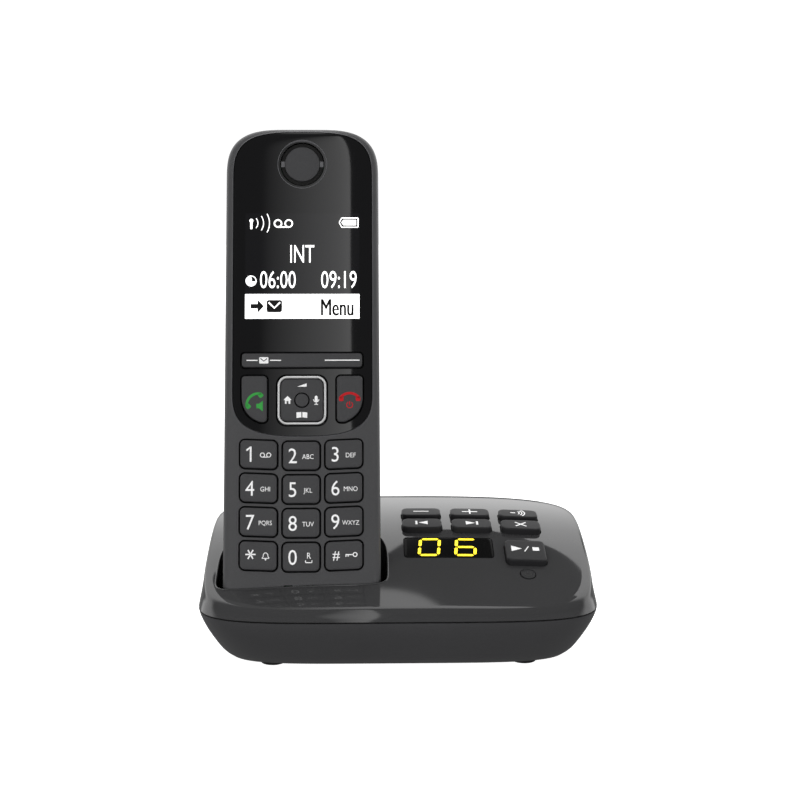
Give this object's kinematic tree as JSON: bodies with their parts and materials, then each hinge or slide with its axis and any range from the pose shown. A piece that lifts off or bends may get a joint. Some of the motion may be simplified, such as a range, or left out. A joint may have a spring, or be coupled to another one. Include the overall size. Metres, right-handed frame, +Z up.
{
  "type": "cordless phone with base",
  "caption": "Cordless telephone handset with a backlit display and keypad, standing in a wedge-shaped answering-machine cradle with a lit message counter.",
  "frame": {"origin": "centre of the cradle footprint, on the surface that the feet stand on", "axes": "+Z up, -Y towards the user, +X to the user's right; the handset leans back towards +Y"},
  "size_m": [0.1274, 0.0779, 0.1668],
  "materials": {
    "housing": "fine satin grain",
    "cradle_top": "polished",
    "gloss_black": "piano gloss",
    "handset_keys": "satin",
    "cradle_keys": "satin",
    "chrome": "polished",
    "screen": "backlit dot matrix",
    "amber_digits": "lit segments",
    "legend_white": "printed",
    "legend_green": "printed",
    "legend_red": "printed",
    "circuit_board": "solder mask",
    "silicone": "matt",
    "foot_rubber": "matt",
    "steel": "bright",
    "speaker_frame": "matt",
    "contact_metal": "plated",
    "cell_jacket": "printed sleeve",
    "socket_plastic": "plain"
  },
  "bodies": {
    "cradle": {"base_top_shell": "cradle_top", "base_bottom_shell": "housing", "foot_front_left": "foot_rubber", "foot_front_right": "foot_rubber", "foot_rear_left": "foot_rubber", "foot_rear_right": "foot_rubber", "base_screw_left": "steel", "base_screw_right": "steel", "base_speaker": "speaker_frame", "base_circuit_board": "circuit_board", "base_key_mat": "silicone", "base_display_window": "gloss_black", "base_display_module": "amber_digits", "line_socket": "socket_plastic", "power_socket": "socket_plastic"},
    "handset": {"handset_front_shell": "housing", "handset_rear_shell": "housing", "fascia_lens": "gloss_black", "lcd_module": "screen", "earpiece_cap": "handset_keys", "earpiece_receiver": "speaker_frame", "keypad_mat": "silicone", "handset_circuit_board": "circuit_board", "microphone": "steel", "handset_loudspeaker": "speaker_frame", "battery_spring": "steel", "battery_left": "cell_jacket", "battery_right": "cell_jacket", "handset_contact_left": "contact_metal", "handset_contact_right": "contact_metal"},
    "battery_cover": {"battery_cover": "housing"},
    "nav_carrier": {"nav_carrier": "handset_keys"},
    "nav_pad": {"nav_pad": "handset_keys", "nav_ring": "chrome"},
    "ok_key": {"ok_key": "handset_keys"},
    "soft_key_bar": {"soft_key_bar": "gloss_black"},
    "talk_key": {"talk_key": "handset_keys"},
    "end_key": {"end_key": "handset_keys"},
    "key_1": {"key_1": "handset_keys"},
    "key_2": {"key_2": "handset_keys"},
    "key_3": {"key_3": "handset_keys"},
    "key_4": {"key_4": "handset_keys"},
    "key_5": {"key_5": "handset_keys"},
    "key_6": {"key_6": "handset_keys"},
    "key_7": {"key_7": "handset_keys"},
    "key_8": {"key_8": "handset_keys"},
    "key_9": {"key_9": "handset_keys"},
    "key_star": {"key_star": "handset_keys"},
    "key_0": {"key_0": "handset_keys"},
    "key_hash": {"key_hash": "handset_keys"},
    "base_key_minus": {"base_key_minus": "cradle_keys"},
    "base_key_plus": {"base_key_plus": "cradle_keys"},
    "base_key_page": {"base_key_page": "cradle_keys"},
    "base_key_previous": {"base_key_previous": "cradle_keys"},
    "base_key_next": {"base_key_next": "cradle_keys"},
    "base_key_delete": {"base_key_delete": "cradle_keys"},
    "base_key_play": {"base_key_play": "cradle_keys"},
    "base_key_power": {"base_key_power": "cradle_keys"},
    "base_contact_left": {"base_contact_left": "contact_metal"},
    "base_contact_right": {"base_contact_right": "contact_metal"}
  },
  "joints": [
    {"name": "handset_lift", "type": "slide", "parent": "cradle", "child": "handset", "axis": [0, 0.2164, 0.9763], "range_m": [0, 0.08]},
    {"name": "battery_cover_off", "type": "slide", "parent": "handset", "child": "battery_cover", "axis": [0, 0.9763, -0.2164], "range_m": [0, 0.02]},
    {"name": "key_1_press", "type": "slide", "parent": "handset", "child": "key_1", "axis": [0, 0.9763, -0.2164], "range_m": [0, 0.0008], "stiffness_N_per_m": 600, "springref_m": -0.001},
    {"name": "key_2_press", "type": "slide", "parent": "handset", "child": "key_2", "axis": [0, 0.9763, -0.2164], "range_m": [0, 0.0008], "stiffness_N_per_m": 600, "springref_m": -0.001},
    {"name": "key_3_press", "type": "slide", "parent": "handset", "child": "key_3", "axis": [0, 0.9763, -0.2164], "range_m": [0, 0.0008], "stiffness_N_per_m": 600, "springref_m": -0.001},
    {"name": "key_4_press", "type": "slide", "parent": "handset", "child": "key_4", "axis": [0, 0.9763, -0.2164], "range_m": [0, 0.0008], "stiffness_N_per_m": 600, "springref_m": -0.001},
    {"name": "key_5_press", "type": "slide", "parent": "handset", "child": "key_5", "axis": [0, 0.9763, -0.2164], "range_m": [0, 0.0008], "stiffness_N_per_m": 600, "springref_m": -0.001},
    {"name": "key_6_press", "type": "slide", "parent": "handset", "child": "key_6", "axis": [0, 0.9763, -0.2164], "range_m": [0, 0.0008], "stiffness_N_per_m": 600, "springref_m": -0.001},
    {"name": "key_7_press", "type": "slide", "parent": "handset", "child": "key_7", "axis": [0, 0.9763, -0.2164], "range_m": [0, 0.0008], "stiffness_N_per_m": 600, "springref_m": -0.001},
    {"name": "key_8_press", "type": "slide", "parent": "handset", "child": "key_8", "axis": [0, 0.9763, -0.2164], "range_m": [0, 0.0008], "stiffness_N_per_m": 600, "springref_m": -0.001},
    {"name": "key_9_press", "type": "slide", "parent": "handset", "child": "key_9", "axis": [0, 0.9763, -0.2164], "range_m": [0, 0.0008], "stiffness_N_per_m": 600, "springref_m": -0.001},
    {"name": "key_star_press", "type": "slide", "parent": "handset", "child": "key_star", "axis": [0, 0.9763, -0.2164], "range_m": [0, 0.0008], "stiffness_N_per_m": 600, "springref_m": -0.001},
    {"name": "key_0_press", "type": "slide", "parent": "handset", "child": "key_0", "axis": [0, 0.9763, -0.2164], "range_m": [0, 0.0008], "stiffness_N_per_m": 600, "springref_m": -0.001},
    {"name": "key_hash_press", "type": "slide", "parent": "handset", "child": "key_hash", "axis": [0, 0.9763, -0.2164], "range_m": [0, 0.0008], "stiffness_N_per_m": 600, "springref_m": -0.001},
    {"name": "talk_key_press", "type": "slide", "parent": "handset", "child": "talk_key", "axis": [0, 0.9763, -0.2164], "range_m": [0, 0.0008], "stiffness_N_per_m": 600, "springref_m": -0.001},
    {"name": "end_key_press", "type": "slide", "parent": "handset", "child": "end_key", "axis": [0, 0.9763, -0.2164], "range_m": [0, 0.0008], "stiffness_N_per_m": 600, "springref_m": -0.001},
    {"name": "ok_key_press", "type": "slide", "parent": "handset", "child": "ok_key", "axis": [0, 0.9763, -0.2164], "range_m": [0, 0.0006], "stiffness_N_per_m": 600, "springref_m": -0.001},
    {"name": "soft_key_rock", "type": "hinge", "parent": "handset", "child": "soft_key_bar", "pos_m": [-0.0303, -0.00861, 0.09361], "axis": [0, 0.2164, 0.9763], "range_deg": [-1.2, 1.2], "stiffness_Nm_per_rad": 1},
    {"name": "nav_tilt_up_down", "type": "hinge", "parent": "handset", "child": "nav_carrier", "pos_m": [-0.0303, -0.00882, 0.08064], "axis": [1, 0, 0], "range_deg": [-2.5, 2.5], "stiffness_Nm_per_rad": 0.2},
    {"name": "nav_tilt_left_right", "type": "hinge", "parent": "nav_carrier", "child": "nav_pad", "pos_m": [-0.0303, -0.00961, 0.08082], "axis": [0, 0.2164, 0.9763], "range_deg": [-2.5, 2.5], "stiffness_Nm_per_rad": 0.2},
    {"name": "base_key_minus_press", "type": "slide", "parent": "cradle", "child": "base_key_minus", "axis": [0, 0.2756, -0.9613], "range_m": [0, 0.0008], "stiffness_N_per_m": 600, "springref_m": -0.001},
    {"name": "base_key_plus_press", "type": "slide", "parent": "cradle", "child": "base_key_plus", "axis": [0, 0.2756, -0.9613], "range_m": [0, 0.0008], "stiffness_N_per_m": 600, "springref_m": -0.001},
    {"name": "base_key_page_press", "type": "slide", "parent": "cradle", "child": "base_key_page", "axis": [0, 0.2756, -0.9613], "range_m": [0, 0.0008], "stiffness_N_per_m": 600, "springref_m": -0.001},
    {"name": "base_key_previous_press", "type": "slide", "parent": "cradle", "child": "base_key_previous", "axis": [0, 0.2756, -0.9613], "range_m": [0, 0.0008], "stiffness_N_per_m": 600, "springref_m": -0.001},
    {"name": "base_key_next_press", "type": "slide", "parent": "cradle", "child": "base_key_next", "axis": [0, 0.2756, -0.9613], "range_m": [0, 0.0008], "stiffness_N_per_m": 600, "springref_m": -0.001},
    {"name": "base_key_delete_press", "type": "slide", "parent": "cradle", "child": "base_key_delete", "axis": [0, 0.2756, -0.9613], "range_m": [0, 0.0008], "stiffness_N_per_m": 600, "springref_m": -0.001},
    {"name": "base_key_play_press", "type": "slide", "parent": "cradle", "child": "base_key_play", "axis": [0, 0.2756, -0.9613], "range_m": [0, 0.0008], "stiffness_N_per_m": 600, "springref_m": -0.001},
    {"name": "base_key_power_press", "type": "slide", "parent": "cradle", "child": "base_key_power", "axis": [0, 0.2756, -0.9613], "range_m": [0, 0.0008], "stiffness_N_per_m": 600, "springref_m": -0.001},
    {"name": "base_contact_left_spring", "type": "slide", "parent": "cradle", "child": "base_contact_left", "axis": [0, 0.2164, 0.9763], "range_m": [-0.0008, 0], "stiffness_N_per_m": 500, "springref_m": 0.001},
    {"name": "base_contact_right_spring", "type": "slide", "parent": "cradle", "child": "base_contact_right", "axis": [0, 0.2164, 0.9763], "range_m": [-0.0008, 0], "stiffness_N_per_m": 500, "springref_m": 0.001}
  ]
}
